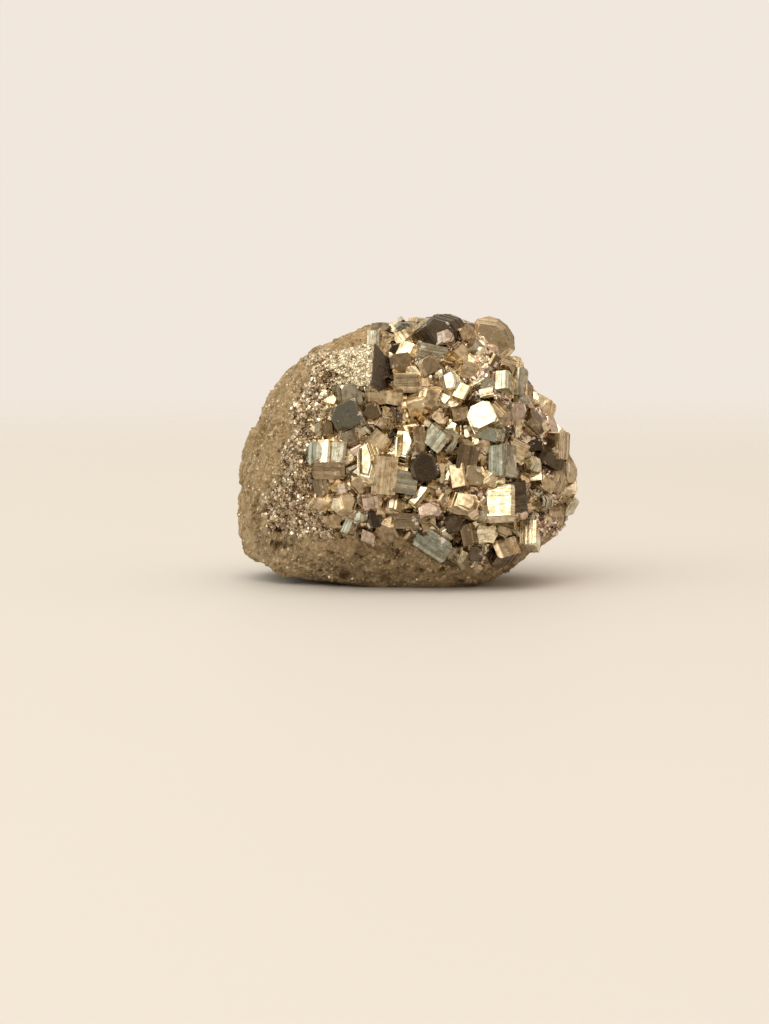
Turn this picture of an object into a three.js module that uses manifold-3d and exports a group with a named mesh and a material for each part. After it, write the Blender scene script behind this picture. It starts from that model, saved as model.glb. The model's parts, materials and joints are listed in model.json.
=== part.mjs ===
// Pyrite specimen, in millimetres, +Z up, crystal crust facing -Y, standing on its flat underside.
// The real piece is one natural solid: a lump of massive pyrite whose front, top and right side carry
// a crust of intergrown crystals. Blocks and pyritohedra grow through each other and out of the lump,
// so they are all joined here in one body.

import * as THREE from 'three';
import { ConvexGeometry } from 'three/addons/geometries/ConvexGeometry.js';
import { mergeVertices } from 'three/addons/utils/BufferGeometryUtils.js';
import Module from 'manifold-3d';

const wasm = await Module();
wasm.setup();

// ---- driving dimensions -------------------------------------------------------------------------

const HEART = new THREE.Vector3(0.03, 1.43, 21); // the middle of the lump; every face's reach is from here
const LUMP_DETAIL = 9; // cuts along each edge of the icosahedron that the lump starts as
const FACE_SHARPNESS = 20; // how tightly the lump's faces turn into each other
const FIRST_SEED = 7; // starts the chain of pseudo-random numbers for growth and scatter
const WELD = 0.02; // corners closer than this are one corner

// The lump's broken and grown faces: bearing from the front (degrees, + to the right), rise above
// level (degrees), reach from the heart (mm).
const LUMP_FACES = [
  [5, 10, 18.2], // crystal front
  [45, 4, 21.4], // front right
  [-68, 12, 23.4], // broad broken face on the left
  [-42, -20, 24.4], // foot of the broken face
  [-90, -14, 31.0], // left end
  [-90, 8, 28.0], // above the left end
  [-90, 25, 25.6], // left shoulder
  [-90, 47, 23.0], // upper left
  [-90, -38, 34.6], // lower left corner
  [-88, -75, 24.4], // left underside
  [-90, 63, 21.6], // long slope up to the crest
  [0, 90, 21.0], // crest
  [88, 60, 24.4], // right shoulder
  [88, 38, 21.6], // slope down to the right end
  [90, 0, 26.4], // right end
  [88, -45, 26.2], // lower right corner
  [86, -62, 24.4], // right underside
  [0, -35, 21.2], // band under the crystals
  [0, -90, 22.0], // underside
  [-4, 45, 19.4], // front of the crest
  [180, 0, 19.6], // back
  [176, 44, 19.8], // back of the crest
  [-138, 8, 23.2], // back left
  [140, -4, 22.6], // back right
  [175, -42, 21.4], // back underside
];

// Low swells and hollows of the lump, each a wave across the direction from the heart: how many
// radians it turns through along x, y and z, where it starts, and its height as a share of the reach.
const SWELLS = [
  [5, 2, 6, 0.6, 0.008],
  [-4, 9, 3, 2.1, 0.008],
  [14, -9, 11, 4.0, 0.005],
  [9, 17, -16, 1.3, 0.004],
];

// Crystal habits: distance of the cube, pyritohedron and octahedron faces from the crystal's middle,
// where the cube faces of a plain cube are at 1. A family at 0 is missing.
const HABITS = {
  block: { cube: 1, pyritohedron: 0, octahedron: 0 },
  cornered: { cube: 1, pyritohedron: 0, octahedron: 1.36 },
  pyritohedron: { cube: 0, pyritohedron: 1, octahedron: 0 },
};
const MALFORMED = 0.09; // how far a face may stray from its family's distance, as a share of it
const PROUD = 0.36; // how far a crystal's main face stands out of the lump, as a share of its size

// The crystals that lead the crust. Each row has the place of the main face, across from the heart
// and up from the ground; how wide, tall and deep the crystal is; the bearing and rise that the face
// looks along; how far the crystal is rolled about that line; and its habit. The first is the step of
// massive pyrite, broken clean, that stands out of the upper left.
const LEADING_CRYSTALS = [
  [-8.8, 35.6, 8.0, 8.4, 6.8, -32, 35, 16, 'block'],
  [-0.8, 23.7, 3.8, 5.6, 4.6, -15, 29, 4, 'pyritohedron'],
  [2.0, 23.8, 2.0, 4.8, 3.4, 24, 0, 4, 'block'],
  [11.6, 28.0, 4.4, 4.6, 4.8, -15, 29, 30, 'cornered'],
  [6.1, 33.5, 3.6, 3.6, 3.4, -24, 22, 20, 'pyritohedron'],
  [2.6, 19.9, 4.8, 4.4, 5.0, 6, 2, 15, 'cornered'],
  [14.5, 14.8, 4.2, 5.8, 6.0, -6, 27, 2, 'block'],
  [17.5, 15.0, 3.4, 5.4, 5.6, 34, 2, 4, 'block'],
  [-9.6, 28.0, 5.0, 4.8, 4.4, -6, 4, 25, 'cornered'],
  [-12.3, 26.0, 2.2, 2.4, 2.4, 20, 12, 0, 'cornered'],
  [-15.0, 22.3, 2.8, 3.4, 3.4, -40, 14, 8, 'cornered'],
  [-13.2, 22.5, 2.0, 4.0, 4.0, -22, 18, 4, 'block'],
  [-11.3, 22.5, 3.2, 3.8, 4.2, -12, 16, -4, 'block'],
  [-12.3, 19.6, 5.0, 3.0, 3.6, 10, -6, 0, 'block'],
  [-3.7, 18.9, 3.8, 6.4, 4.4, 8, -6, -4, 'block'],
  [-6.9, 21.2, 3.6, 7.0, 4.2, -20, 24, 10, 'pyritohedron'],
  [-0.6, 17.6, 3.8, 3.6, 3.4, 4, 14, -10, 'block'],
  [1.6, 15.8, 1.6, 3.8, 2.4, -14, 28, -32, 'block'],
  [-9.7, 14.7, 3.8, 3.4, 3.4, 14, 22, 10, 'pyritohedron'],
  [-1.6, 14.3, 3.5, 2.8, 3.0, 18, 26, -15, 'pyritohedron'],
  [-0.7, 11.6, 4.4, 2.7, 3.6, -4, 6, -3, 'block'],
  [3.2, 8.0, 7.6, 3.9, 4.6, -20, 8, -30, 'block'],
  [7.4, 6.1, 3.4, 2.4, 3.0, -17, 27, -28, 'block'],
  [9.0, 14.5, 5.2, 3.8, 4.2, 4, 28, -20, 'pyritohedron'],
  [15.9, 7.0, 4.6, 3.4, 4.0, 20, 30, 12, 'block'],
  [18.9, 9.2, 3.0, 4.4, 3.6, -16, 28, 5, 'block'],
  [23.2, 20.0, 4.8, 2.8, 3.4, 28, 4, -25, 'block'],
  [18.9, 20.0, 3.0, 2.7, 2.8, -28, 14, 10, 'pyritohedron'],
  [13.6, 21.0, 3.4, 5.4, 4.4, -30, 10, 6, 'block'],
  [14.7, 33.5, 2.4, 3.5, 3.0, -22, 26, 8, 'block'],
  [16.8, 33.1, 2.2, 5.0, 3.4, -28, 16, 4, 'block'],
  [19.7, 30.2, 2.6, 2.4, 2.6, -12, 32, 20, 'cornered'],
  [4.6, 40.6, 8.2, 5.6, 6.4, -4, 12, 34, 'pyritohedron'],
  [14.7, 41.2, 7.6, 7.4, 6.6, 4, 10, 52, 'pyritohedron'],
  [9.6, 40.4, 3.0, 3.0, 3.0, 26, 6, 20, 'cornered'],
  [5.9, 40.2, 4.2, 3.2, 8.8, 6, 18, 10, 'pyritohedron'],
  [13.9, 38.8, 5.0, 3.8, 4.6, 15, 14, 10, 'pyritohedron'],
  [3.9, 37.6, 5.0, 3.0, 3.6, 12, 12, -12, 'block'],
  [-0.6, 38.2, 2.3, 3.1, 2.8, -14, 34, -15, 'block'],
  [1.3, 35.8, 2.3, 3.5, 2.8, -30, 18, -10, 'pyritohedron'],
  [-1.0, 36.2, 3.5, 3.0, 3.0, 14, 8, 8, 'cornered'],
  [-0.4, 32.9, 4.2, 3.0, 3.8, 4, -4, 0, 'block'],
  [3.2, 35.6, 3.8, 3.0, 3.2, 18, 4, 25, 'cornered'],
  [3.6, 30.4, 3.8, 3.6, 3.6, 20, 14, -20, 'cornered'],
  [1.5, 29.2, 3.4, 2.7, 3.0, 0, -24, 15, 'block'],
  [-2.5, 30.6, 3.1, 2.6, 2.8, -4, -18, -10, 'block'],
  [-5.2, 30.6, 3.4, 2.4, 2.8, 10, -10, 5, 'block'],
  [-5.6, 28.5, 2.9, 3.0, 2.8, 8, 4, 20, 'cornered'],
  [-4.1, 26.6, 2.9, 2.8, 2.8, -6, 16, -25, 'pyritohedron'],
  [4.0, 24.5, 4.2, 3.8, 3.8, -26, 12, -35, 'block'],
  [5.6, 24.2, 2.3, 4.2, 3.0, -32, 8, -10, 'pyritohedron'],
  [6.9, 26.0, 2.4, 2.4, 2.4, -12, 38, 30, 'pyritohedron'],
  [8.2, 28.1, 3.0, 2.2, 2.6, 14, -4, 10, 'block'],
  [12.0, 25.2, 4.2, 2.4, 3.2, -28, 6, -12, 'block'],
  [15.1, 25.0, 2.0, 2.0, 2.0, 10, 0, 0, 'cornered'],
  [17.6, 28.5, 2.9, 2.8, 2.8, 18, 8, 15, 'cornered'],
  [17.2, 22.2, 3.8, 3.8, 3.4, 6, 20, -30, 'block'],
  [20.5, 22.7, 2.4, 2.2, 2.4, 12, 2, 10, 'cornered'],
  [19.9, 17.9, 2.9, 1.6, 2.4, -12, 30, 8, 'block'],
  [22.2, 16.4, 2.8, 2.4, 2.6, 30, 12, -35, 'block'],
  [20.9, 13.7, 3.1, 2.7, 2.8, -26, 12, 30, 'pyritohedron'],
  [3.2, 13.3, 3.8, 2.3, 2.8, 4, 20, 10, 'cornered'],
  [9.5, 9.3, 2.6, 3.6, 3.0, 18, 6, 10, 'block'],
  [15.1, 9.9, 4.0, 3.0, 3.4, 22, -6, -15, 'pyritohedron'],
  [-9.5, 10.8, 1.6, 2.7, 2.2, -30, 12, -20, 'block'],
  [-8.1, 12.6, 2.2, 2.3, 2.2, -20, 14, 20, 'pyritohedron'],
  [-13.6, 17.0, 2.2, 2.7, 2.4, 12, 10, 10, 'block'],
  [8.4, 31.7, 2.2, 3.1, 2.6, -10, 32, -20, 'block'],
  [12.3, 31.4, 2.3, 1.6, 2.2, -4, 36, 12, 'block'],
  [13.8, 36.3, 1.8, 2.3, 2.2, 12, 4, -30, 'block'],
  [14.9, 36.9, 2.0, 2.0, 2.0, -14, 30, 20, 'cornered'],
  [16.4, 36.0, 1.8, 2.2, 2.0, 10, 2, 5, 'block'],
  [-7.6, 17.2, 2.6, 3.0, 2.8, 10, -14, 0, 'cornered'],
  [-9.2, 24.6, 2.6, 2.6, 2.6, -4, 10, 20, 'block'],
  [9.3, 21.4, 3.4, 4.0, 3.4, 14, 6, -12, 'block'],
  [7.6, 18.6, 2.8, 4.2, 3.2, -18, 20, 14, 'block'],
  [10.4, 18.4, 3.0, 3.4, 3.0, 16, 10, -8, 'cornered'],
  [11.6, 12.6, 2.4, 2.6, 2.4, -20, 10, 0, 'cornered'],
  [-4.6, 23.8, 3.4, 3.0, 3.0, 12, -6, -40, 'block'],
  [-6.0, 14.6, 2.6, 2.8, 2.6, 20, -8, 12, 'block'],
  [24.8, 26.0, 3.4, 3.4, 3.4, 60, 20, 10, 'cornered'],
  [-4.4, 41.6, 3.4, 2.4, 3.4, -20, 40, 0, 'cornered'],
  [-5.6, 39.4, 2.2, 3.6, 2.6, -10, 14, 0, 'block'],
  [-5.3, 11.9, 3.0, 2.8, 2.6, 0, 4, 10, 'cornered'],
  [7.2, 11.1, 2.6, 3.0, 2.6, 6, 0, 20, 'cornered'],
  [10.4, 5.9, 2.8, 2.6, 2.4, 0, -6, 0, 'cornered'],
];

// The edges of the crust. Its left edge bulges to the left at one height, and gives way higher up to
// the clean-broken step. Its lower edge falls from the plain band at the left to the foot of the right
// end, and rises again beyond it.
const CRUST_LEFT = -16;
const CRUST_LEFT_AT = 20;
const CRUST_LEFT_LEAN = 0.42;
const STEP_FOOT = 33;
const STEP_EDGE = -3;
const CRUST_FOOT = 9.5;
const RIGHT_FOOT = 5;
const RIGHT_FOOT_AT = 12;
const FOOT_SLOPE = 0.5;
const CRUST_BACK = 7;

// The smaller crystals that fill the crust between the leading ones and carry it round the sides.
const FILLER_TRIES = 900;
const FILLER_BEARINGS = [-45, 150];
const FILLER_RISES = [-48, 90];
const FILLER_SIZES = [2.6, 4.8];
const FILLER_TILT = 34; // how far a filler may lean from square to the lump, degrees
const FILLER_PROUD = 0.25; // how far a filler's main face stands out, as a share of its size
const FILLER_PROUD_LOSS = 0.6; // how much of that is lost where the lump faces straight up
const FILLER_SPACING = 0.8; // least distance between two crystals, as a share of their mean size

// ---- pseudo-random numbers ----------------------------------------------------------------------

let chain = FIRST_SEED;

// The next number of the chain, between low and high.
function drawn(low, high) {
  chain = (chain * 16807) % 2147483647;
  return low + ((high - low) * chain) / 2147483647;
}

// ---- the lump -----------------------------------------------------------------------------------

function lookingAlong(bearing, rise) {
  const b = THREE.MathUtils.degToRad(bearing);
  const r = THREE.MathUtils.degToRad(rise);
  return new THREE.Vector3(Math.sin(b) * Math.cos(r), -Math.cos(b) * Math.cos(r), Math.sin(r));
}

const lumpFaces = LUMP_FACES.map(([bearing, rise, reach]) => ({
  normal: lookingAlong(bearing, rise),
  reach,
}));

// How far the lump's surface is from the heart along a unit direction.
function reachAlong(direction) {
  let sum = 0;
  for (const face of lumpFaces) {
    const facing = Math.max(0, face.normal.dot(direction));
    sum += (facing / face.reach) ** FACE_SHARPNESS;
  }
  let swell = 1;
  for (const [alongX, alongY, alongZ, start, height] of SWELLS) {
    const turn = alongX * direction.x + alongY * direction.y + alongZ * direction.z + start;
    swell += height * Math.sin(turn);
  }
  return sum ** (-1 / FACE_SHARPNESS) * swell;
}

function surfaceAlong(direction) {
  return HEART.clone().addScaledVector(direction, reachAlong(direction));
}

const IN_FRONT = -30; // y of a place in front of the whole lump
const JUST_INSIDE = -2; // y of a place inside it, just in front of its middle
const HALVINGS = 24; // steps of the search between them

// The lump's surface straight in from the front at x and z. Past the lump's outline it is the nearest
// surface just in front of the middle.
function frontSurface(x, z) {
  const outside = (y) => {
    const arm = new THREE.Vector3(x, y, z).sub(HEART);
    const length = arm.length();
    return length > reachAlong(arm.divideScalar(length));
  };
  let near = IN_FRONT;
  let deep = JUST_INSIDE;
  if (outside(deep)) {
    return surfaceAlong(new THREE.Vector3(x, deep, z).sub(HEART).normalize());
  }
  for (let halving = 0; halving < HALVINGS; halving += 1) {
    const middle = (near + deep) / 2;
    if (outside(middle)) near = middle;
    else deep = middle;
  }
  return new THREE.Vector3(x, deep, z);
}

function lumpGeometry() {
  const geometry = new THREE.IcosahedronGeometry(1, LUMP_DETAIL);
  const positions = geometry.getAttribute('position');
  const corner = new THREE.Vector3();
  for (let i = 0; i < positions.count; i += 1) {
    corner.fromBufferAttribute(positions, i).normalize();
    corner.copy(surfaceAlong(corner));
    positions.setXYZ(i, corner.x, corner.y, corner.z);
  }
  return geometry;
}

// ---- crystals -----------------------------------------------------------------------------------

// The face normals of the three families, as symmetry repeats them.
function cubeNormals() {
  const axes = [new THREE.Vector3(1, 0, 0), new THREE.Vector3(0, 1, 0), new THREE.Vector3(0, 0, 1)];
  return axes.flatMap((axis) => [axis, axis.clone().negate()]);
}

function pyritohedronNormals() {
  const normals = [];
  for (const long of [2, -2]) {
    for (const short of [1, -1]) {
      normals.push(new THREE.Vector3(long, short, 0));
      normals.push(new THREE.Vector3(0, long, short));
      normals.push(new THREE.Vector3(short, 0, long));
    }
  }
  return normals.map((normal) => normal.normalize());
}

function octahedronNormals() {
  const signs = [1, -1];
  return signs.flatMap((x) =>
    signs.flatMap((y) => signs.map((z) => new THREE.Vector3(x, y, z).normalize())),
  );
}

// The corners of the solid that lies behind every plane.
function cornersOf(planes) {
  const corners = [];
  const line = new THREE.Vector3();
  for (let i = 0; i < planes.length; i += 1) {
    for (let j = i + 1; j < planes.length; j += 1) {
      for (let k = j + 1; k < planes.length; k += 1) {
        const [a, b, c] = [planes[i], planes[j], planes[k]];
        const volume = a.normal.dot(line.crossVectors(b.normal, c.normal));
        if (Math.abs(volume) < 1e-6) continue;
        const corner = new THREE.Vector3()
          .crossVectors(b.normal, c.normal)
          .multiplyScalar(a.distance)
          .addScaledVector(new THREE.Vector3().crossVectors(c.normal, a.normal), b.distance)
          .addScaledVector(new THREE.Vector3().crossVectors(a.normal, b.normal), c.distance)
          .divideScalar(volume);
        const inside = planes.every((p) => p.normal.dot(corner) < p.distance + 1e-6);
        const isNew = corners.every((other) => other.distanceTo(corner) > WELD);
        if (inside && isNew) corners.push(corner);
      }
    }
  }
  return corners;
}

// A crystal of unit half size whose main face looks along +Z: a cube face, or one of the pyritohedron's.
function habitCorners(habit) {
  const { cube, pyritohedron, octahedron } = HABITS[habit];
  const planes = [];
  const grow = (normals, distance) => {
    if (distance === 0) return;
    for (const normal of normals) {
      planes.push({ normal, distance: distance * drawn(1 - MALFORMED, 1 + MALFORMED) });
    }
  };
  grow(cubeNormals(), cube);
  grow(pyritohedronNormals(), pyritohedron);
  grow(octahedronNormals(), octahedron);
  const mainFace = cube === 0 ? new THREE.Vector3(1, 0, 2).normalize() : new THREE.Vector3(0, 0, 1);
  const upright = new THREE.Quaternion().setFromUnitVectors(mainFace, new THREE.Vector3(0, 0, 1));
  return cornersOf(planes).map((corner) => corner.applyQuaternion(upright));
}

// A crystal whose main face is centred on a point and looks along a direction.
function crystalGeometry({ faceAt, bearing, rise, roll, size, habit }) {
  const out = lookingAlong(bearing, rise);
  const sideways = lookingAlong(bearing + 90, 0);
  const upwards = new THREE.Vector3().crossVectors(out, sideways);
  const placed = new THREE.Matrix4().makeBasis(sideways, upwards, out);
  placed.multiply(new THREE.Matrix4().makeRotationZ(THREE.MathUtils.degToRad(roll)));
  placed.multiply(new THREE.Matrix4().makeScale(size[0] / 2, size[1] / 2, size[2] / 2));
  placed.setPosition(faceAt.clone().addScaledVector(out, -size[2] / 2));
  const corners = habitCorners(habit).map((corner) => corner.applyMatrix4(placed));
  return new ConvexGeometry(corners);
}

function leadingCrystals() {
  return LEADING_CRYSTALS.map(([x, z, wide, tall, deep, bearing, rise, roll, habit]) => {
    const faceAt = frontSurface(HEART.x + x, z);
    faceAt.y -= PROUD * deep;
    return { faceAt, bearing, rise, roll, size: [wide, tall, deep], habit };
  });
}

function isCrust({ x, y, z }) {
  const bulgingEdge = CRUST_LEFT + CRUST_LEFT_LEAN * Math.abs(z - CRUST_LEFT_AT);
  const leftEdge = z > STEP_FOOT ? STEP_EDGE : bulgingEdge;
  const fallingEdge = CRUST_FOOT - FOOT_SLOPE * Math.max(0, x);
  const risingEdge = RIGHT_FOOT + FOOT_SLOPE * (x - RIGHT_FOOT_AT);
  const lowerEdge = x < RIGHT_FOOT_AT ? fallingEdge : risingEdge;
  return x > leftEdge && z > lowerEdge && y < CRUST_BACK;
}

function fillerCrystals(leading) {
  const crystals = [...leading];
  for (let attempt = 0; attempt < FILLER_TRIES; attempt += 1) {
    const bearing = drawn(...FILLER_BEARINGS);
    const rise = drawn(...FILLER_RISES);
    const side = drawn(...FILLER_SIZES);
    const leanAcross = drawn(-FILLER_TILT, FILLER_TILT);
    const leanUp = drawn(-FILLER_TILT, FILLER_TILT);
    const roll = drawn(0, 90);
    const habit = Object.keys(HABITS)[Math.floor(drawn(0, 3))];
    const out = lookingAlong(bearing, rise);
    const faceAt = surfaceAlong(out);
    const crowded = crystals.some(
      (other) => faceAt.distanceTo(other.faceAt) < (FILLER_SPACING * (side + other.size[0])) / 2,
    );
    if (crowded || !isCrust(faceAt)) continue;
    faceAt.addScaledVector(out, FILLER_PROUD * (1 - FILLER_PROUD_LOSS * Math.max(0, out.z)) * side);
    crystals.push({
      faceAt,
      bearing: bearing + leanAcross,
      rise: rise + leanUp,
      roll,
      size: [side, side, side],
      habit,
    });
  }
  return crystals.slice(leading.length);
}

// ---- joining ------------------------------------------------------------------------------------

function solidOf(geometry) {
  geometry.deleteAttribute('normal');
  geometry.deleteAttribute('uv');
  const merged = mergeVertices(geometry, 1e-4);
  return new wasm.Manifold(
    new wasm.Mesh({
      numProp: 3,
      vertProperties: merged.getAttribute('position').array,
      triVerts: new Uint32Array(merged.index.array),
    }),
  );
}

// The worn and broken underside is flat enough to stand on: everything below level zero is cut away.
function belowGround() {
  const wide = 200;
  const deep = 60;
  return new THREE.BoxGeometry(wide, wide, deep).translate(0, 0, -deep / 2);
}

// Crystals that meet can close off a pocket. Its wall is a shell of its own, so the stone is solid
// once only the largest shell is kept.
function withoutPockets(solid) {
  return solid.decompose().reduce((a, b) => (a.volume() > b.volume() ? a : b));
}

function clusterGeometry() {
  const leading = leadingCrystals();
  const crystals = [...leading, ...fillerCrystals(leading)];
  let cluster = solidOf(lumpGeometry());
  for (const crystal of crystals) {
    cluster = cluster.add(solidOf(crystalGeometry(crystal)));
  }
  cluster = withoutPockets(cluster.subtract(solidOf(belowGround())));
  const { vertProperties, triVerts } = cluster.getMesh();
  const geometry = new THREE.BufferGeometry();
  geometry.setAttribute('position', new THREE.BufferAttribute(vertProperties, 3));
  geometry.setIndex(new THREE.BufferAttribute(triVerts, 1));
  const faceted = geometry.toNonIndexed();
  faceted.computeVertexNormals();
  return faceted;
}

const pyrite = new THREE.MeshStandardMaterial({ color: 0xa88f63, roughness: 0.35, metalness: 1 });
pyrite.flatShading = true;

const cluster = new THREE.Mesh(clusterGeometry(), pyrite);
cluster.name = 'pyrite_cluster';

const specimen = new THREE.Group();
specimen.add(cluster);

export default specimen;
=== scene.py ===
"""A hand-size pyrite specimen: one lump of massive pyrite with a crust of intergrown crystals.

The file follows the stone as it is made up: the massive lump, the leading and lesser crystals of its
crust, the clean-broken step on its upper left, and the small crystals and grains between them.
"""

import json
import math
import random
from itertools import combinations

import bpy
import numpy as np
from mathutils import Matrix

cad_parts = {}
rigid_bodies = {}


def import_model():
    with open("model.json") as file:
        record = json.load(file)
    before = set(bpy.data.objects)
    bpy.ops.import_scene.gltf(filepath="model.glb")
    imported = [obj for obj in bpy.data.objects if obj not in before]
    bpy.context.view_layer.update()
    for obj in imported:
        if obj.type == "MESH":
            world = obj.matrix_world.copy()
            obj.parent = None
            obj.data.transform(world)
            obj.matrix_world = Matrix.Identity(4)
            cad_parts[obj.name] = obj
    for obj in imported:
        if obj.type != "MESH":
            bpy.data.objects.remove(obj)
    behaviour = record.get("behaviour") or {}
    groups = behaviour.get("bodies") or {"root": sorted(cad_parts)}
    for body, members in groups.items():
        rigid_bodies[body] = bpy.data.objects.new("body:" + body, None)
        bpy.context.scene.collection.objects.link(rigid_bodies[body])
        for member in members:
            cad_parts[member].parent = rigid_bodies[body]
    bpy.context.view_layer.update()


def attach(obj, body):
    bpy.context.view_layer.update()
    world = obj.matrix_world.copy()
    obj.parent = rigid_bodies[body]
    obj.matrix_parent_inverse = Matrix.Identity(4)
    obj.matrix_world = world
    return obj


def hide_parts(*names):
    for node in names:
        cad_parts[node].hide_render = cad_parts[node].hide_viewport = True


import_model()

# ==== the lump of massive pyrite =================================================================
# One natural lump, split from its vein: fine-grained, matt and brown where it is broken and
# weathered. Broad broken faces turn into each other round a heart, and a ball of small squares is
# drawn out to them. A node tree then roughens it with hollows, broken grains and pits.

MM = 0.001
HEART = np.array([0.03, 1.43, 21.0])  # the middle of the lump, mm
FACE_SHARPNESS = 20  # how tightly the lump's faces turn into each other
LUMP_CUTS = 122  # squares along each side of the cube that the ball is blown up from

# The lump's broken and grown faces: bearing from the front (degrees, + to the right), rise above
# level (degrees), reach from the heart (mm).
LUMP_FACES = [
    (5, 10, 18.2),  # crystal front
    (45, 4, 21.4),  # front right
    (-68, 12, 23.4),  # broad broken face on the left
    (-42, -20, 24.4),  # foot of the broken face
    (-90, -14, 31.0),  # left end
    (-90, 8, 28.0),  # above the left end
    (-90, 25, 25.6),  # left shoulder
    (-90, 47, 23.0),  # upper left
    (-90, -38, 34.6),  # lower left corner
    (-88, -75, 24.4),  # left underside
    (-90, 63, 21.6),  # long slope up to the crest
    (0, 90, 21.0),  # crest
    (88, 60, 24.4),  # right shoulder
    (88, 38, 21.6),  # slope down to the right end
    (90, 0, 26.4),  # right end
    (88, -45, 26.2),  # lower right corner
    (86, -62, 24.4),  # right underside
    (0, -35, 21.2),  # band under the crystals
    (0, -90, 22.0),  # underside
    (-4, 45, 19.4),  # front of the crest
    (180, 0, 19.6),  # back
    (176, 44, 19.8),  # back of the crest
    (-138, 8, 23.2),  # back left
    (140, -4, 22.6),  # back right
    (175, -42, 21.4),  # back underside
]

# Low swells and hollows: radians turned through along x, y and z, start, height as a share of reach.
SWELLS = [
    (5, 2, 6, 0.6, 0.008),
    (-4, 9, 3, 2.1, 0.008),
    (14, -9, 11, 4.0, 0.005),
    (9, 17, -16, 1.3, 0.004),
]


def looking_along(bearing, rise):
    """The unit direction at a bearing from the front and a rise above level, both in degrees."""
    b = math.radians(bearing)
    r = math.radians(rise)
    return np.array([math.sin(b) * math.cos(r), -math.cos(b) * math.cos(r), math.sin(r)])


FACE_NORMALS = np.array([looking_along(bearing, rise) for bearing, rise, _ in LUMP_FACES])
FACE_REACHES = np.array([reach for _, _, reach in LUMP_FACES])


def reach_along(directions):
    """How far the lump's surface is from the heart, in mm, along each unit direction."""
    facing = np.maximum(0, directions @ FACE_NORMALS.T) / FACE_REACHES
    swell = np.ones(len(directions))
    for along_x, along_y, along_z, start, height in SWELLS:
        turn = directions @ np.array([along_x, along_y, along_z]) + start
        swell += height * np.sin(turn)
    return (facing**FACE_SHARPNESS).sum(axis=1) ** (-1 / FACE_SHARPNESS) * swell


def ball_of_squares(cuts):
    """The corners, from -1 to 1, and the outward quads of a cube whose six sides are cut in squares."""
    steps = np.arange(cuts + 1) * 2 - cuts
    across, up = np.meshgrid(steps, steps, indexing="ij")
    corners, quads = [], []
    for axis in range(3):
        for side in (-1, 1):
            grid = np.empty((cuts + 1, cuts + 1, 3), int)
            grid[..., axis] = side * cuts
            grid[..., (axis + 1) % 3] = across
            grid[..., (axis + 2) % 3] = up
            index = np.arange(across.size).reshape(across.shape) + across.size * len(corners)
            ring = [index[:-1, :-1], index[1:, :-1], index[1:, 1:], index[:-1, 1:]][::side]
            quads.append(np.stack(ring, axis=-1).reshape(-1, 4))
            corners.append(grid.reshape(-1, 3))
    corners, shared = np.unique(np.concatenate(corners), axis=0, return_inverse=True)
    return corners / cuts, shared.ravel()[np.concatenate(quads)]


def soft_step(value, low, high):
    """0 below low, 1 above high, and a smooth rise between them."""
    t = np.clip((value - low) / (high - low), 0, 1)
    return t * t * (3 - 2 * t)


# The edges of the crust, in mm. Its left edge bulges to the left at one height, and gives way higher
# up to the clean-broken step. Its lower edge falls from the plain band at the left to the foot of the
# right end, and rises again beyond it.
CRUST_LEFT = -16
CRUST_LEFT_AT = 20
CRUST_LEFT_LEAN = 0.42
STEP_FOOT = 33
STEP_EDGE = -3
CRUST_FOOT = 9.5
RIGHT_FOOT = 5
RIGHT_FOOT_AT = 12
FOOT_SLOPE = 0.5
CRUST_BACK = 7


def inside_crust(points):
    """How far inside the crust's edge each point is, in mm."""
    x, y, z = points.T
    bulging_edge = CRUST_LEFT + CRUST_LEFT_LEAN * np.abs(z - CRUST_LEFT_AT)
    left_edge = np.where(z > STEP_FOOT, STEP_EDGE, bulging_edge)
    falling_edge = CRUST_FOOT - FOOT_SLOPE * np.maximum(0, x)
    rising_edge = RIGHT_FOOT + FOOT_SLOPE * (x - RIGHT_FOOT_AT)
    lower_edge = np.where(x < RIGHT_FOOT_AT, falling_edge, rising_edge)
    return np.minimum(np.minimum(x - left_edge, z - lower_edge), CRUST_BACK - y)


def crust_share(points):
    """How far the crust covers each point. Its edge on the back wanders up to 3 mm either way."""
    x, _, z = points.T
    wandered = points.copy()
    wandered[:, 1] -= 2.0 * np.sin(0.31 * z + 0.12 * x) + 1.0 * np.sin(0.95 * z - 0.4 * x)
    return soft_step(inside_crust(wandered), -0.5, 0.5)


# Hollows and swells of the crystal front, and then the sharp pits of the plain band under it: across,
# up, radius, and how far it stands forward, mm.
FRONT_RELIEF = [
    (-1.5, 29.5, 7.0, -2.0),
    (8.0, 30.0, 4.5, -1.0),
    (2.5, 21.0, 5.5, 0.9),
    (-6.0, 19.0, 4.0, 0.6),
    (15.5, 15.5, 4.5, 0.9),
    (-11.0, 20.5, 4.0, 0.4),
    (9.5, 20.0, 3.5, -0.8),
    (20.5, 22.0, 4.0, -0.9),
    (5.5, 8.5, 5.0, 0.5),
    (-9.9, 2.2, 0.8, -2.4),
    (-20.9, 9.8, 0.8, -1.8),
    (-20.3, 9.0, 0.6, -1.5),
    (-20.6, 6.7, 0.7, -1.2),
    (-19.6, 6.6, 0.5, -1.0),
]


RELIEF_FADES = 1.5  # how far out a hollow or swell ends, in its radii
RELIEF_BACK = (-8, 0)  # y where all of them start and end dying out behind the front, mm


def front_relief(points):
    """How far forward each point of the crystal front is moved by its hollows and swells, in mm."""
    x, y, z = points.T
    forward = np.zeros(len(points))
    for across, up, radius, height in FRONT_RELIEF:
        away = np.hypot(x - across, z - up) / radius
        forward += height * (1 - soft_step(away, 0, RELIEF_FADES))
    return forward * (1 - soft_step(y, *RELIEF_BACK))


FRONT_ENDS = (-4, 2)  # y where the front starts and ends turning into the sides, mm


def on_the_front(y):
    return 1 - soft_step(y, *FRONT_ENDS)


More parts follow.
